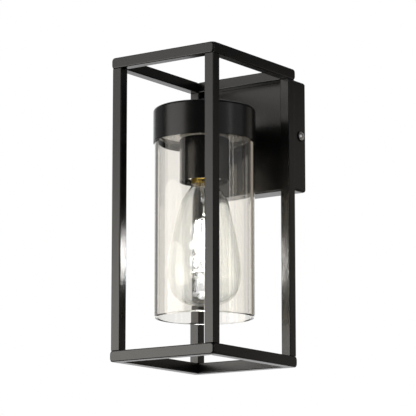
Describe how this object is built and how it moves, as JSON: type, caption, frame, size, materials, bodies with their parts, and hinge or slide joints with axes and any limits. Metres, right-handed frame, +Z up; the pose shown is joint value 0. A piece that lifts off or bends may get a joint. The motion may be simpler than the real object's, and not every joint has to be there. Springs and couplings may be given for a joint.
{
  "type": "outdoor wall lantern",
  "caption": "Wall lantern: open box cage of black square tube on a wall canopy, with a drawn cap, clear glass cylinder open below, black lampholder sleeve and screw-in filament bulb.",
  "frame": {"origin": "centre of the wall bracket's back face, on the wall plane", "axes": "+Y into the wall, +Z up, the lantern stands out along -Y"},
  "size_m": [0.1224, 0.1681, 0.3],
  "materials": {
    "black_coat": "satin black powder coat on steel",
    "shade_glass": "clear polished soda-lime glass",
    "bulb_glass": "clear blown glass",
    "filament": "glowing warm-white filament rods",
    "brass": "bright stamped brass",
    "zinc_plated": "bright zinc-plated steel",
    "porcelain": "glazed white porcelain",
    "rubber": "matt black rubber",
    "silicone": "translucent silicone",
    "nylon": "natural moulded nylon",
    "vitrite": "black glass insulator",
    "wire_live": "brown wire insulation",
    "wire_neutral": "blue wire insulation",
    "wire_earth": "green wire insulation"
  },
  "bodies": {
    "lantern": {"arm_nipple": "zinc_plated", "arm_nut_canopy": "zinc_plated", "arm_nut_cap": "zinc_plated", "arm_tube": "black_coat", "arm_washer_canopy": "zinc_plated", "arm_washer_cap": "zinc_plated", "bottom_rail_back": "black_coat", "bottom_rail_front": "black_coat", "bottom_rail_left": "black_coat", "bottom_rail_right": "black_coat", "bridge_nut_left": "zinc_plated", "bridge_nut_right": "zinc_plated", "cap_bridge": "zinc_plated", "centre_contact": "brass", "earth_screw": "brass", "frame_screw_lower_left": "zinc_plated", "frame_screw_lower_right": "zinc_plated", "frame_screw_upper_left": "zinc_plated", "frame_screw_upper_right": "zinc_plated", "glass_shade": "shade_glass", "holder_bush": "zinc_plated", "lamp_cap": "black_coat", "lamp_nipple": "zinc_plated", "lamp_sleeve": "black_coat", "lampholder_body": "porcelain", "locknut_lower": "zinc_plated", "locknut_upper": "zinc_plated", "post_back_left": "black_coat", "post_back_right": "black_coat", "post_front_left": "black_coat", "post_front_right": "black_coat", "screw_shell": "brass", "shade_backing_disc": "zinc_plated", "shade_gasket_lower": "silicone", "shade_gasket_upper": "silicone", "terminal_block": "nylon", "terminal_clamp_live": "brass", "terminal_clamp_neutral": "brass", "terminal_screw": "zinc_plated", "top_rail_back": "black_coat", "top_rail_front": "black_coat", "top_rail_left": "black_coat", "top_rail_right": "black_coat", "wall_bracket": "zinc_plated", "wall_canopy": "black_coat", "wall_gasket": "rubber", "wire_earth": "wire_earth", "wire_live": "wire_live", "wire_neutral": "wire_neutral"},
    "bulb": {"bulb_envelope": "bulb_glass", "bulb_filaments": "filament", "bulb_insulator": "vitrite", "bulb_screw_cap": "brass", "bulb_stem": "bulb_glass", "bulb_tip_contact": "brass"},
    "cover_screw_left": {"cover_screw_left": "zinc_plated", "cover_seal_left": "rubber"},
    "cover_screw_right": {"cover_screw_right": "zinc_plated", "cover_seal_right": "rubber"}
  },
  "joints": [
    {"name": "bulb_unscrew", "type": "slide", "parent": "lantern", "child": "bulb", "axis": [0, 0, -1], "range_m": [0, 0.024]},
    {"name": "cover_screw_left_withdraw", "type": "slide", "parent": "lantern", "child": "cover_screw_left", "axis": [-1, 0, 0], "range_m": [0, 0.012]},
    {"name": "cover_screw_right_withdraw", "type": "slide", "parent": "lantern", "child": "cover_screw_right", "axis": [1, 0, 0], "range_m": [0, 0.012]}
  ]
}
